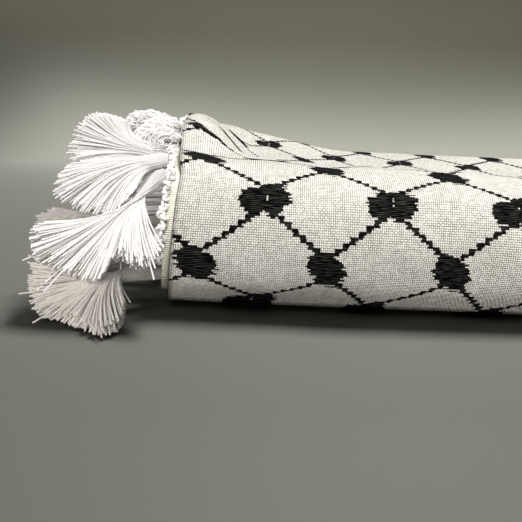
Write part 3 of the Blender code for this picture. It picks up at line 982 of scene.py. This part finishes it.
@dataclass
class FoldedLayers:
    """The layers inside the outer cloth, with a ridge for each fold at the ends."""

    form: PackForm = FORM
    inset: float = 1.6
    setback: float = 1.9
    bodies: int = 60
    folds: int = 13
    points_in_fold: int = 5
    fold_depth: float = 1.9
    fold_reach: tuple = (-0.9, 0.7)
    fold_sway: float = 0.5
    fold_waves: tuple = (2, 3, 4)
    fold_shift: tuple = (13.7, 4.0)
    middle: tuple = (8.0, 21.0)
    flatness: float = 0.35
    spine: tuple = (-56.0, 74.0, 21.6)
    sole: tuple = (84.0, 24)
    slot: tuple = ((88.2, 26.7), (84.2, 24.5), (83, 22.7), (84.4, 21.3), (88.6, 20.4))
    side_ridges: int = 13
    side_depth: float = 90.6
    side_heights: tuple = (19.8, 2.2)
    side_reach: tuple = (-0.9, 1.5)
    side_ridge: float = 1.56
    seed: int = 11

    def side(self, rng: random.Random) -> list:
        """The folded edges low at the back, from below the lip down to the sole.

        Args:
            rng: Fixed random numbers.

        Returns:
            A depth and a height for each point.
        """
        top, foot = self.side_heights
        pitch = (top - foot) / self.side_ridges
        points = []
        for ridge in range(self.side_ridges):
            out = self.side_depth + rng.uniform(*self.side_reach)
            for share in (0.125, 0.375, 0.625, 0.875):
                depth = out - self.side_ridge * (1.0 - math.sin(math.pi * share))
                points.append((depth, top - pitch * (ridge + share)))
        return points

    def outline(self, x: float, side: list) -> np.ndarray:
        """The closed outline of the layers at one station.

        Args:
            x: The station.
            side: The folded edges at the back.

        Returns:
            The points of the outline.
        """
        upper = self.form.upper(x)
        section = upper - self.form.outward(upper) * self.inset
        back, count = self.sole
        sole = [(y, self.inset) for y in np.linspace(back, self.form.sole_front, count)]
        return np.vstack([section[:self.form.above_lip():2], self.slot, side, sole])

    def ring(self, outline: np.ndarray, share: float) -> np.ndarray:
        """An outline drawn in towards the middle line of the layers."""
        front, back, height = self.spine
        spine = np.column_stack([np.clip(outline[:, 0], front, back),
                                 np.full(len(outline), height)])
        return outline + (spine - outline) * share

    def end(self, x: float, outwards: float, side: list, rng: random.Random) -> list:
        """Rings over one end, from the rim inwards.

        Args:
            x: Where the rim of the end stands.
            outwards: -1 at the left end and 1 at the right end.
            side: The folded edges at the back.
            rng: Fixed random numbers.

        Returns:
            For each ring its points and its shift on the cloth.
        """
        outline = self.outline(x, side)
        depth, height = (outline - self.middle).T
        angle = np.arctan2(height, depth * self.flatness)
        rings = []
        for fold in range(self.folds):
            reach = rng.uniform(*self.fold_reach)
            phase, waves = rng.uniform(0.0, math.tau), rng.choice(self.fold_waves)
            sway = reach + self.fold_sway * np.sin(angle * waves + phase)
            for step in range(self.points_in_fold):
                part = (step + 0.5) / self.points_in_fold
                crown = math.sin(math.pi * part)
                flat = self.ring(outline, (fold + part) / (self.folds + 1))
                ring = self.form.leaned(x, flat)
                ring[:, 0] += outwards * (crown ** 0.6 * self.fold_depth + sway * crown)
                a_fold, a_part = self.fold_shift
                rings.append((ring, fold * a_fold + part * a_part))
        return rings

    def build(self) -> bpy.types.Object:
        """Build the layers.

        Returns:
            The dressed piece.
        """
        rng = random.Random(self.seed)
        side = self.side(rng)
        left = self.form.left + self.setback
        right = self.form.right - self.setback - self.inset
        rings = list(reversed(self.end(left, -1.0, side, rng)))
        rings += [(self.form.leaned(x, self.outline(x, side)), x)
                  for x in np.linspace(left, right, self.bodies).tolist()]
        rings += self.end(right, 1.0, side, rng)
        points, uv = [], []
        for ring, shift in rings:
            closed = np.vstack([ring, ring[:1]])
            points.append(closed)
            uv.append(np.column_stack([np.full(len(closed), shift), arc_lengths(closed[:, 1:])]))
        piece = grid_mesh("layer_stack", np.array(points)[:, ::-1], np.array(uv)[:, ::-1])
        self.close(piece, len(points), len(points[0]))
        return dress(piece, WovenCotton(), "layers", "folded_layers")

    @staticmethod
    def close(piece: bpy.types.Object, rows: int, columns: int) -> None:
        """Merge the seam and close both ends of the stack.

        Args:
            piece: The stack.
            rows: The number of rings.
            columns: The number of points in each.
        """
        bm = bmesh.new()
        bm.from_mesh(piece.data)
        bm.verts.ensure_lookup_table()
        for first in (0, (rows - 1) * columns):
            ends = [bm.verts[first + i] for i in range(columns - 1)]
            middle = bm.verts.new(sum((v.co for v in ends), Vector()) / len(ends))
            for a, b in zip(ends, ends[1:]):
                bm.faces.new((a, b, middle))
            bm.verts.ensure_lookup_table()
        bmesh.ops.remove_doubles(bm, verts=bm.verts, dist=0.0001 * MM)
        bmesh.ops.recalc_face_normals(bm, faces=bm.faces)
        bm.to_mesh(piece.data)
        bm.free()
        piece.data.shade_smooth()


@dataclass
class FringeEdge:
    """The cream woven strip that the fringe leaves, just outside the cloth's edge."""

    form: PackForm = FORM
    width: float = 2.2
    thickness: float = 0.9
    gap: float = 0.35
    crown: float = 0.1
    rib: float = 0.05
    rib_pitch: float = 1.24
    sunk: tuple = ((0, 2.4), (14, 2.0), (24, 0.5), (36, 0.5), (46, 2.6))

    def line(self, x: float) -> np.ndarray:
        """The line round the pack along its edge, below the cloth's own surface.

        Args:
            x: The place along the pack at which it stands.

        Returns:
            The points of the line.
        """
        upper = self.form.upper(self.form.left)
        sunk = np.interp(arc_lengths(upper), *zip(*self.sunk))
        section = upper - self.form.outward(upper) * sunk[:, None]
        line = self.form.leaned(self.form.left, section[1:self.form.above_lip()])
        line[:, 0] += x - self.form.left
        return line

    def build(self) -> bpy.types.Object:
        """Build the strip.

        Returns:
            The dressed piece.
        """
        points, uv = [], []
        for share in np.linspace(0.0, 1.0, 7):
            line = self.line(self.form.left - self.gap - self.width * (1.0 - share))
            travel = arc_lengths(line[:, 1:])
            rise = self.crown * math.sin(math.pi * share)
            rise = rise + self.rib * np.abs(np.sin(travel * math.pi / self.rib_pitch))
            line[:, 1:] += self.form.outward(line[:, 1:]) * rise[:, None]
            points.append(line)
            uv.append(np.column_stack([np.full(len(travel), share * self.width), travel]))
        piece = grid_mesh("cream_edge_strip", np.array(points), np.array(uv))
        thicken(piece, self.thickness)
        return dress(piece, CreamWeave(), "edge", "fringe_edge")


class GeometryTree:
    """A geometry tree with named inputs, which turns guide lines into finished mesh."""

    title: str = ""
    sizes: tuple = ()

    def __init__(self, finish: Finish) -> None:
        """Build the tree.

        Args:
            finish: The finish of what it makes.
        """
        self.group = bpy.data.node_groups.new(self.title, "GeometryNodeTree")
        face = self.group.interface
        for way in ("INPUT", "OUTPUT"):
            face.new_socket("Geometry", in_out=way, socket_type="NodeSocketGeometry")
        self.inputs = {}
        for name, kind, value in (*self.sizes, ("Seed", "Int", 3)):
            socket = face.new_socket(name, in_out="INPUT", socket_type=f"NodeSocket{kind}")
            socket.default_value = value
            self.inputs[name] = socket.identifier
        tree = Tree(self.group)
        shape = self.shape(tree, tree.node("NodeGroupInput").outputs)
        real = tree.made("GeometryNodeRealizeInstances", {0: shape})
        clad = tree.made("GeometryNodeSetMaterial",
                         {"Geometry": real, "Material": finish.material()})
        tree.node("NodeGroupOutput", {0: clad})

    def shape(self, tree: Tree, given: object) -> bpy.types.NodeSocket:
        """Build the shape from the tree's inputs; each tree has its own."""
        raise NotImplementedError

    @staticmethod
    def store(tree: Tree, shape: object, name: str, value: object, kind: str = "FLOAT",
              domain: str = "POINT") -> bpy.types.NodeSocket:
        """Keep a value on the shape under a name."""
        return tree.made("GeometryNodeStoreNamedAttribute",
                         {"Geometry": shape, "Name": name, "Value": value},
                         data_type=kind, domain=domain)

    @staticmethod
    def own_value(tree: Tree, seed: object) -> Value:
        """A random value from 0 to 1 for each part of the shape."""
        own = tree.node("FunctionNodeRandomValue",
                        {"ID": tree.made("GeometryNodeInputIndex"), "Seed": seed},
                        data_type="FLOAT")
        return Value(tree, own.outputs[1])

    def tube(self, tree: Tree, curve: object, radius: object,
             sides: object) -> bpy.types.NodeSocket:
        """A closed tube along a curve, which knows how far round each point stands.

        Args:
            tree: The tree to build in.
            curve: The curve.
            radius: Half the thickness of the tube.
            sides: The number of its sides.

        Returns:
            The tube.
        """
        ring = tree.made("GeometryNodeCurvePrimitiveCircle",
                         {"Resolution": sides, "Radius": radius}, mode="RADIUS")
        unit = tree.vectors("NORMALIZE", {0: tree.made("GeometryNodeInputPosition")})
        profile = self.store(tree, ring, "turn", unit, "FLOAT_VECTOR")
        return tree.made("GeometryNodeCurveToMesh",
                         {"Curve": curve, "Profile Curve": profile, "Fill Caps": True})

    def grow(self, name: str, paths: list, **sizes: object) -> bpy.types.Object:
        """Turn guide lines into a finished piece.

        Args:
            name: The new piece's name.
            paths: Lists of points, in millimetres.
            sizes: Values for the tree's named inputs.

        Returns:
            A plain mesh object.
        """
        points, edges = [], []
        for path in paths:
            start = len(points)
            points += [tuple(Vector(p) * MM) for p in path]
            edges += [(start + i, start + i + 1) for i in range(len(path) - 1)]
        piece = mesh_piece(name, points, edges, [])
        growth = piece.modifiers.new("growth", "NODES")
        growth.node_group = self.group
        for size, value in sizes.items():
            growth[self.inputs[size]] = value
        settle(piece)
        piece.data.shade_smooth()
        return piece


class YarnTree(GeometryTree):
    """Guide lines become yarns: smooth, a little waved, each a shade of its own."""

    title = "yarn along its path"
    sizes = (("Radius", "Float", 0.00024), ("Sides", "Int", 5), ("Points", "Int", 12),
             ("Wave", "Float", 0.0006), ("WaveLength", "Float", 0.012))

    def shape(self, tree: Tree, given: object) -> bpy.types.NodeSocket:
        """Smooth the guide lines, wave them more towards their ends, and thicken them.

        Args:
            tree: The tree to build in.
            given: The values of its named inputs.

        Returns:
            The yarns.
        """
        yarn = tree.made("GeometryNodeMeshToCurve", {"Mesh": given["Geometry"]})
        yarn = tree.made("GeometryNodeCurveSplineType", {"Curve": yarn},
                         spline_type="CATMULL_ROM")
        yarn = tree.made("GeometryNodeResampleCurve", {"Curve": yarn, "Count": given["Points"]})
        along = tree.node("GeometryNodeSplineParameter").outputs
        yarn = self.store(tree, yarn, "shade", self.own_value(tree, given["Seed"]),
                          domain="CURVE")
        own = Value(tree, tree.made("GeometryNodeInputNamedAttribute", {"Name": "shade"},
                                    data_type="FLOAT"))
        place = tree.vectors("DIVIDE", {0: tree.made("GeometryNodeInputPosition"),
                                        1: tree.vector(*[given["WaveLength"]] * 3)})
        noise = tree.node("ShaderNodeTexNoise", {"Vector": place, "W": own * 40.0, "Scale": 1.0},
                          noise_dimensions="4D")
        sway = tree.vectors("SUBTRACT", {0: noise.outputs["Color"], 1: (0.5, 0.5, 0.5)})
        wave = Value(tree, along["Factor"]) ** 0.7 * (Value(tree, given["Wave"]) * 2.0)
        sway = tree.vectors("SCALE", {0: sway, "Scale": wave})
        yarn = tree.made("GeometryNodeSetPosition", {"Geometry": yarn, "Offset": sway})
        yarn = self.store(tree, yarn, "along", along["Length"])
        return self.tube(tree, yarn, given["Radius"], given["Sides"])


class KnotTree(GeometryTree):
    """Guide lines become rows of small overhand knots, each turned its own way."""

    title = "knots along the edge"
    sizes = (("Spacing", "Float", 0.0028), ("Size", "Float", 0.0015),
             ("Yarn", "Float", 0.0005))

    def knot(self, tree: Tree, given: object) -> bpy.types.NodeSocket:
        """One overhand knot of yarn, drawn up small.

        Args:
            tree: The tree to build in.
            given: The values of its named inputs.

        Returns:
            The knot.
        """
        loop = tree.made("GeometryNodeCurvePrimitiveCircle", {"Resolution": 22}, mode="RADIUS")
        along = tree.node("GeometryNodeSplineParameter").outputs
        turn = Value(tree, along["Factor"]) * math.tau
        twice = turn * 2.0
        place = tree.vector(twice.sine() * 2.0 + turn.sine(),
                            twice.cosine() * -2.0 + turn.cosine(), (turn * 3.0).sine() * -1.3)
        sized = tree.vectors("SCALE", {0: place, "Scale": Value(tree, given["Size"]) / 3.0})
        loop = tree.made("GeometryNodeSetPosition", {"Geometry": loop, "Position": sized})
        return self.tube(tree, self.store(tree, loop, "along", along["Length"]),
                         given["Yarn"], 6)

    def shape(self, tree: Tree, given: object) -> bpy.types.NodeSocket:
        """Place a knot at each spacing along the guide lines.

        Args:
            tree: The tree to build in.
            given: The values of its named inputs.

        Returns:
            The knots.
        """
        line = tree.made("GeometryNodeMeshToCurve", {"Mesh": given["Geometry"]})
        points = tree.made("GeometryNodeCurveToPoints",
                           {"Curve": line, "Length": given["Spacing"]}, mode="LENGTH")
        turns = tree.made("FunctionNodeRandomValue",
                          {"Max": (math.tau,) * 3, "Seed": given["Seed"],
                           "ID": tree.made("GeometryNodeInputIndex")}, data_type="FLOAT_VECTOR")
        own = self.own_value(tree, given["Seed"])
        size = own * 0.35 + 0.8
        row = tree.made("GeometryNodeInstanceOnPoints",
                        {"Points": points, "Instance": self.knot(tree, given),
                         "Rotation": turns, "Scale": tree.vector(size, size, size)})
        return self.store(tree, row, "shade", own, domain="INSTANCE")


class Hang(Enum):
    """How the yarns of a tassel fall."""

    BROOM = "broom"
    CURL = "curl"


@dataclass(frozen=True)
class Tassel:
    """A tassel: its root in the edge, its tied head, and the spread of its brush.

    The rim is a line along which the yarns of a broom end. Where it isn't given, it
    follows from the aim, the length and the angle of the fan. For curls it is a few
    loose balls of yarn, each a middle and a radius.
    """

    node: str
    root: tuple
    head: tuple
    aim: tuple
    across: tuple
    fan: float
    thick: float
    length: float
    yarns: int = 98
    hang: Hang = Hang.BROOM
    neck: float = 1.5
    rim: tuple = ()
    peel: float = 1.0
    stray: float = 0.03
    locks: int = 13
    unruly: float = 0.3

    def axes(self) -> tuple:
        """Aim, across and side directions of the brush, at right angles.

        Returns:
            The three unit directions.
        """
        aim = Vector(self.aim).normalized()
        across = Vector(self.across)
        across = (across - aim * across.dot(aim)).normalized()
        return aim, across, aim.cross(across)

    def tips(self) -> np.ndarray:
        """The smooth line along which the yarns end.

        Returns:
            The points of the line.
        """
        if self.rim:
            line = spline(np.array(self.rim), [8] * (len(self.rim) - 1))
            run = arc_lengths(line)
            even = np.linspace(0.0, run[-1], 48)
            return np.column_stack([np.interp(even, run, side) for side in line.T])
        aim, across, _ = self.axes()
        angles = np.linspace(-1.0, 1.0, 9) * math.radians(self.fan)
        return np.array([Vector(self.head) + (aim * math.cos(t) + across * math.sin(t))
                         * self.length for t in angles])

    def broom(self, share: float, side_share: float, tips: np.ndarray,
              rng: random.Random) -> list:
        """The path of one yarn of a brush, from its root to its cut end.

        Args:
            share: Where it ends along the rim, from 0 to 1.
            side_share: Where it lies in the brush's thickness, from -1 to 1.
            tips: The line along which the yarns end.
            rng: Fixed random numbers.

        Returns:
            Points in millimetres.
        """
        aim, across, side = self.axes()
        root, head = Vector(self.root), Vector(self.head)
        a, b = 2.0 * share - 1.0, side_share
        turn = math.tau * self.locks
        drawn = share - 0.2 * math.sin(share * turn + b * 7.0) / turn
        disc = (across * a * math.sqrt(1.0 - b * b / 2)
                + side * b * math.sqrt(1.0 - a * a / 2)) * self.neck
        run = head - root
        leave = root + run * (self.peel + (1.0 - self.peel) * (1.0 - share))
        path = [root + disc * 0.75, root.lerp(leave, 0.5) + disc * 0.95, leave + disc]
        place = min(max(drawn, 0.0), 1.0) * (len(tips) - 1)
        low = min(int(place), len(tips) - 2)
        end = Vector(tips[low] + (tips[low + 1] - tips[low]) * (place - low))
        reach = (end - leave).length
        end += side * b * reach * math.tan(math.radians(self.thick))
        loose = rng.random() < self.stray
        if loose:
            end += Vector([rng.uniform(-1.0, 1.0) * reach * 0.16 for _ in range(3)])
        ragged = rng.uniform(0.72, 1.08) if loose else 1.0 + rng.uniform(-0.1, 0.06)
        end = leave + (end - leave) * ragged
        start = path[-1]
        handle = start + (run.normalized() * 0.5 + aim) * reach * 0.27
        for t in (0.25, 0.5, 0.75, 1.0):
            point = start.lerp(handle, t).lerp(handle.lerp(end, t), t)
            point.z = max(point.z, 0.35 + 0.9 * (b + 1.0) * (1.0 - 0.5 * t))
            path.append(point)
        return path

    def curl(self, rng: random.Random) -> list:
        """The path of one yarn of a curled tassel, which loops round in a loose ball.

        Args:
            rng: Fixed random numbers.

        Returns:
            Points in millimetres.
        """
        root, head = Vector(self.root), Vector(self.head)
        spot = rng.uniform(0.0, len(self.rim) - 1.001)
        near, far = np.array(self.rim)[int(spot):int(spot) + 2]
        *middle, size = near + (far - near) * (spot % 1.0)
        axle = Vector([rng.gauss(c, self.unruly) for c in (0.0, -1.0, 0.15)]).normalized()
        left = axle.cross(Vector((0.0, 0.0, 1.0))).normalized()
        down = axle.cross(left)
        out = math.sqrt(rng.uniform(0.06, 1.0))
        centre = Vector(middle) + axle * (size * rng.uniform(-0.2, 0.9)
                                          * math.sqrt(1.0 - out * out))
        start, wind = rng.uniform(-2.9, -1.7), rng.uniform(2.6, 6.0)
        path = [root, root.lerp(head, 0.6) + Vector([rng.uniform(-1.0, 1.0) for _ in range(3)])]
        for step in range(9):
            t = step / 8
            angle = start + wind * t
            reach = out * size * (1.0 - 0.22 * t + rng.uniform(-0.08, 0.08))
            path.append(centre + (left * math.cos(angle) + down * math.sin(angle)) * reach)
        return path

    def build(self, tree: YarnTree, seed: int) -> bpy.types.Object:
        """Build the tassel.

        Args:
            tree: The tree that spins the yarns.
            seed: Fixed seed of this tassel's random numbers.

        Returns:
            The dressed piece.
        """
        rng = random.Random(seed)
        curled = self.hang is Hang.CURL
        tips = self.tips()
        paths = []
        for number in range(self.yarns):
            share = (number * 0.618034) % 1.0 + rng.uniform(-0.01, 0.01)
            side_share = (number * 0.754878) % 1.0 * 2.0 - 1.0 + rng.uniform(-0.15, 0.15)
            share, side_share = min(max(share, 0.0), 1.0), min(max(side_share, -1.0), 1.0)
            paths.append(self.curl(rng) if curled else self.broom(share, side_share, tips, rng))
        sizes = {"Wave": 0.0003, "WaveLength": 0.006, "Points": 19} if curled else {"Wave": 0.0005}
        piece = tree.grow(f"{self.node}_yarns", paths, Seed=seed, **sizes)
        return dress(piece, TwistedYarn(), "yarn", self.node)


@dataclass
class Fringe:
    """All the tassels: the loose ones in front and the rows between the layers.

    A level has its name, the heights of its roots and heads, its slope, its first place,
    its spacing and its number of tassels.
    """

    front: tuple = (
        Tassel("tassel_floor_fan", (-152.9, -69, 9), (-161.5, -76.2, 10.4),
               (-0.7, -0.68, -0.18), (-0.84, 0.45, 0.24), 40, 8, 24.5, 700, neck=2.1, peel=0.85,
               rim=((-186.2, -80, 12.4), (-185.4, -82.5, 8.3), (-184, -85, 4),
                    (-180.5, -88, 0.9), (-173.6, -91.5, 0.7), (-165.6, -97, 0.7),
                    (-161.2, -99, 0.7), (-159.2, -95, 1.6), (-159.6, -88.5, 4.8))),
        Tassel("tassel_front_fan", (-152.2, -70.8, 37.8), (-157.4, -78.8, 33.4),
               (-0.6, -0.5, -0.62), (-0.86, -0.06, 0.5), 44, 8, 21.5, 850, neck=2.0, peel=0.3,
               rim=((-184.5, -81, 22.8), (-184.5, -82, 19.8), (-183.2, -83, 16),
                    (-179.4, -84, 13.7), (-173.4, -85, 12.4), (-167.8, -86, 11.2),
                    (-164.9, -86.5, 13.6), (-163.2, -87, 17), (-160.9, -87.5, 17.8),
                    (-157.4, -88, 16.4), (-154.4, -88, 16), (-151.4, -87, 18))),
        Tassel("tassel_upper_fan", (-152.7, -64.5, 41.2), (-158.6, -66.4, 39.8),
               (-0.97, -0.1, 0.02), (0.2, 0, -0.97), 20, 8, 24.5, 620, neck=2.4, peel=0.4,
               rim=((-180.2, -65, 39.2), (-182.6, -66, 35.2), (-183.2, -67, 32.2),
                    (-180.9, -68, 29.4), (-176.4, -69.5, 27.4), (-171.4, -71, 26.6),
                    (-166.4, -72, 27.2), (-162.6, -72, 30.6), (-159.8, -71, 34.4))),
        Tassel("tassel_top_fan", (-151.2, -50.5, 40.4), (-163.6, -50.5, 43.6),
               (-0.96, 0.03, 0.1), (-0.26, 0, -0.95), 26, 11, 19.5, 620, neck=2.9, peel=0.8,
               rim=((-168.2, -48.5, 52), (-172.9, -49, 53.2), (-177, -50, 53.4),
                    (-180.4, -50.5, 51), (-182.4, -51, 46.6), (-184.1, -51, 41.8),
                    (-182.4, -52, 38.8), (-176.6, -53, 37))),
        Tassel("tassel_near_curl", (-151.2, -34, 46.8), (-155.2, -42, 49.8),
               (-0.22, -0.96, 0.14), (0.97, -0.22, 0), 20, 17, 17.5, 540, Hang.CURL, unruly=0.22,
               rim=((-154.6, -50.5, 45.4, 4.6), (-156.6, -50, 45.4, 5.2),
                    (-163.6, -47.5, 45.8, 4.4), (-160, -44.5, 49.4, 4.4),
                    (-155.2, -43.5, 49.6, 4.4))),
        Tassel("tassel_crown_curl", (-151.2, -21.5, 49), (-158.2, -28.5, 51.2),
               (-0.84, -0.52, 0.04), (0.52, -0.84, 0), 16, 13, 19, 400, Hang.CURL, unruly=0.4,
               rim=((-168.6, -37.5, 51.4, 3.9), (-163.4, -36, 51.8, 4.4),
                    (-158.6, -34, 50.6, 4.2))),
        Tassel("tassel_shaded", (-151.6, -52, 7.6), (-158.4, -56, 7.4),
               (-0.93, -0.34, -0.06), (-0.34, 0.93, 0), 15, 12, 23, 180),
        Tassel("tassel_second_row", (-151.4, -58, 23.6), (-159, -60.6, 22.6),
               (-0.98, -0.1, 0.02), (-0.12, 0.98, 0), 14, 2.5, 23.5, 320,
               rim=((-187, -73, 21), (-186, -72, 24.4), (-183.1, -71, 26),
                    (-180.4, -70, 24.8), (-178.2, -69, 22))),
    )
    levels: tuple = (("low", 9, 8.2, -0.1, -33, 22.4, 6), ("middle", 24.5, 23.4, -0.16, -39, 23, 6),
                     ("high", 42.5, 41.6, -0.16, -13, 27, 4))
    root: float = -151.4
    neck: float = 7.5
    seed: int = 7
    first_seed: int = 20
    knots_sunk: tuple = ((34, -0.8), (48, 3))
    knots_from: float = 15.0
    under: tuple = ("tassel_floor_fan_yarns", "tassel_shaded_yarns", "tassel_second_row_yarns")

    def rows(self) -> list[Tassel]:
        """The tassels between the layers, a little uneven.

        Returns:
            The tassels, from the lowest row up.
        """
        uneven = random.Random(self.seed)
        found = []
        for name, root_height, head_height, slope, first, spacing, count in self.levels:
            for i in range(count):
                depth = first + i * spacing
                sway = uneven.uniform(-0.06, 0.06)
                reach = 22.5 + uneven.uniform(-1.5, 1.0)
                found.append(Tassel(
                    f"tassel_{name}_{i + 1}", (self.root, depth, root_height),
                    (self.root - self.neck, depth + sway * 12.0, head_height),
                    (-1, sway, slope), (0, 1, 0), 19, 13.5, reach))
        return found

    def knots(self) -> bpy.types.Object:
        """The row of knots that lock the edge, where the tassels' yarns leave it.

        Returns:
            The dressed piece.
        """
        edge = FringeEdge(sunk=self.knots_sunk)
        line = edge.line(FORM.left - edge.gap - edge.width - 0.5)
        line = line[line[:, 2] > self.knots_from]
        piece = KnotTree(TwistedYarn()).grow("edge_knots", [line])
        return dress(piece, TwistedYarn(), "yarn")

    def build(self) -> list:
        """Build every tassel and give back the dressed pieces."""
        tree = YarnTree(TwistedYarn())
        return [tassel.build(tree, self.first_seed + i)
                for i, tassel in enumerate((*self.front, *self.rows()))]


class Lit(Enum):
    """What a lamp lights."""

    PAPER = "the paper alone"
    PACK = "all but the paper"
    CLOTH = "all but the paper, the tassels and the knots"
    FRINGE = "the knots, and the tassels that lie on top"
    UNDER = "the tassels that lie under the others"


@dataclass(frozen=True)
class Lamp:
    """One soft lamp, which the camera doesn't see. It is square without a height."""

    name: str
    lit: Lit
    place: tuple
    aim: tuple
    size: float
    power: float
    colour: tuple = (1, 1, 1)
    height: float = 0.0

    def hang(self, pieces: list, state: str) -> None:
        """Hang the lamp.

        Args:
            pieces: The pieces that it lights, or leaves out.
            state: INCLUDE or EXCLUDE.
        """
        data = bpy.data.lights.new(self.name, "AREA")
        data.size, data.energy, data.color = self.size, self.power, self.colour
        if self.height:
            data.shape, data.size_y = "RECTANGLE", self.height
        lamp = linked(self.name, data)
        lamp.location = self.place
        lamp.rotation_euler = (Vector(self.aim) - Vector(self.place)).to_track_quat(
            "-Z", "Y").to_euler()
        lamp.visible_camera = False
        group = bpy.data.collections.new(f"{self.name} {state.lower()}")
        for piece in pieces:
            group.objects.link(piece)
        for member in group.collection_objects:
            member.light_linking.link_state = state
        lamp.light_linking.receiver_collection = group


@dataclass
class Studio:
    """Plain paper, soft light and the camera, all in metres.

    The bowl is the distance at which the paper starts to sweep up.
    """

    bowl: float = 3.0
    sweep: float = 0.5
    middle: float = 0.7
    eye: tuple = (-0.125, -0.222, 0.048)
    pitch: float = 12.6
    roll: float = 2.4
    lens: float = 37.38
    lamps: tuple = (
        Lamp("overhead", Lit.PACK, (0.02, 0.36, 0.92), (-0.02, 0, 0), 0.55, 2.8),
        Lamp("floor light", Lit.PAPER, (0.04, 0.34, 0.94), (-0.02, 0, 0), 0.26, 15),
        Lamp("backdrop light", Lit.PAPER, (0.25, 0.78, 0.2), (0.25, 0.83, 0), 1.7, 6,
             height=0.3),
        Lamp("horizon light", Lit.PAPER, (0.1, 0.54, 0.34), (0.1, 0.58, 0), 1.7, 3.4,
             height=0.3),
        Lamp("upper light", Lit.PAPER, (-0.12, 0.97, 0.48), (-0.12, 1.3, 0.48), 1.7, 1.4,
             (1, 0.9, 0.66), 0.3),
        *(Lamp(f"{name} wall light", Lit.PAPER, (x, y, 1), (x * 2.2, y * 2.2, 0.1), 1.5, 24)
          for name, x, y in (("left", -1.5, -0.2), ("right", 1.5, -0.2), ("front", 0, -1.6))),
        Lamp("front key", Lit.CLOTH, (0.3, -0.64, 0.86), (0.03, 0, 0.02), 0.55, 18.5,
             (1, 0.99, 0.965)),
        Lamp("fringe key", Lit.FRINGE, (-0.16, -0.72, 0.66), (-0.12, 0, 0.02), 0.8, 12.5,
             (1, 0.972, 0.958)),
        Lamp("front fill", Lit.PACK, (-0.06, -0.8, 0.28), (-0.03, 0, 0.02), 0.6, 0.9,
             (1, 0.965, 0.91)),
        Lamp("low fill", Lit.UNDER, (-0.4, -0.62, 0.22), (-0.17, -0.07, 0.02), 0.4, 3,
             (1, 0.93, 0.85)),
    )
    sky: tuple = (0.95, 0.97, 1.0, 1.0)
    sky_strength: float = 0.02

    def camera(self) -> None:
        """Place the camera."""
        tilt, roll = math.radians(self.pitch), math.radians(self.roll)
        right, up = Vector((1.0, 0.0, 0.0)), Vector((0.0, math.sin(tilt), math.cos(tilt)))
        ahead = Vector((0.0, math.cos(tilt), -math.sin(tilt)))
        turned = (right * math.cos(roll) + up * math.sin(roll),
                  up * math.cos(roll) - right * math.sin(roll), -ahead)
        data = bpy.data.cameras.new("camera")
        data.lens, data.clip_start = self.lens, 0.01
        camera = linked("camera", data)
        camera.matrix_world = Matrix.Translation(self.eye) @ Matrix(turned).transposed().to_4x4()
        bpy.context.scene.camera = camera

    def floor(self) -> bpy.types.Object:
        """A round sheet of paper that sweeps up far from the pack on every side.

        Returns:
            The paper.
        """
        profile = [(0.0001, 0.0), (self.bowl, 0.0)]
        profile += [(self.bowl + self.sweep * math.sin(a), self.sweep - self.sweep * math.cos(a))
                    for a in np.linspace(0.1, math.pi / 2, 12)]
        profile.append((self.bowl + self.sweep, 3.0))
        turns = np.linspace(0.0, math.tau, 129)
        points = np.array([[(r * math.cos(t), r * math.sin(t) + self.middle - self.bowl, z)
                            for r, z in profile] for t in turns]) / MM
        paper = grid_mesh("paper", points[::-1], points[:, :, :2] * 0.0)
        paper.data.materials.append(StudioPaper().material())
        return paper

    def build(self, fringe: list, under: list) -> None:
        """Set up the studio.

        Args:
            fringe: The tassels and the knots.
            under: The tassels that lie under the others.
        """
        self.camera()
        paper = self.floor()
        on_top = [piece for piece in fringe if piece not in under]
        lit = {Lit.PAPER: ([paper], "INCLUDE"), Lit.PACK: ([paper], "EXCLUDE"),
               Lit.CLOTH: ([paper, *fringe], "EXCLUDE"), Lit.FRINGE: (on_top, "INCLUDE"),
               Lit.UNDER: (under, "INCLUDE")}
        for lamp in self.lamps:
            lamp.hang(*lit[lamp.lit])
        world = bpy.data.worlds.new("soft grey")
        world.use_nodes = True
        sky = world.node_tree.nodes["Background"]
        sky.inputs["Color"].default_value = self.sky
        sky.inputs["Strength"].default_value = self.sky_strength
        bpy.context.scene.world = world
        bpy.context.scene.view_settings.view_transform = "Standard"


def main() -> None:
    """Build the scarf and its studio."""
    logging.basicConfig(level=logging.INFO, format="%(name)s: %(message)s")
    cloth = OuterCloth()
    shell = cloth.build()
    layers = FoldedLayers().build()
    strip = FringeEdge().build()
    fringe = Fringe()
    tassels = [fringe.knots(), *fringe.build()]
    Studio().build(tassels, [piece for piece in tassels if piece.name in Fringe.under])


if __name__ == "__main__":
    main()
